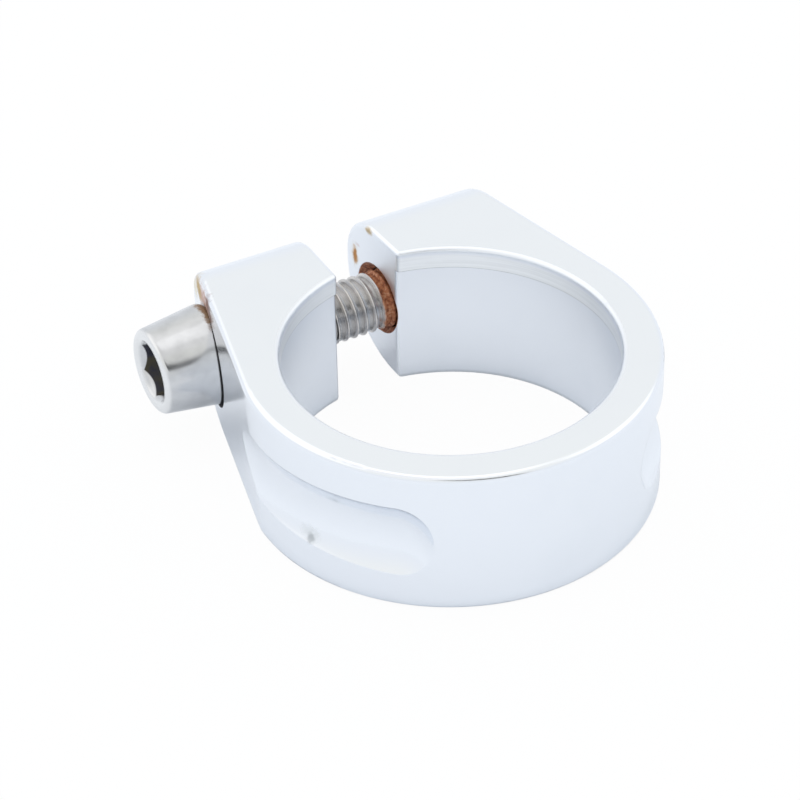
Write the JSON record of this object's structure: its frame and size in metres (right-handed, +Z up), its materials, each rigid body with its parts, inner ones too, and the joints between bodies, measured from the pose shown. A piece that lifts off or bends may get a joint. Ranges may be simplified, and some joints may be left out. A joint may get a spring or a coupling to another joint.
{
  "type": "seatpost clamp",
  "caption": "Split ring clamp with slanted ears, scooped flanks and an inner lip, drawn closed round a bicycle seat tube by a socket-head bolt to hold the seatpost.",
  "frame": {"origin": "on the bore's axis, in the plane of the clamp's bottom face", "axes": "+Z up along the bore towards the lip and the saddle, +Y from the bore towards the ears, the bolt along X with its head at -X"},
  "size_m": [0.0412, 0.0445, 0.0148],
  "materials": {
    "polished_aluminium": "polished",
    "bolt_steel": "turned, satin"
  },
  "bodies": {
    "clamp": {"clamp_body": "polished_aluminium"},
    "bolt": {"clamp_bolt": "bolt_steel"}
  },
  "joints": [
    {"name": "bolt_turn", "type": "hinge", "parent": "clamp", "child": "bolt", "pos_m": [0, 0.0191, 0.00735], "axis": [1, 0, 0], "continuous": true}
  ]
}
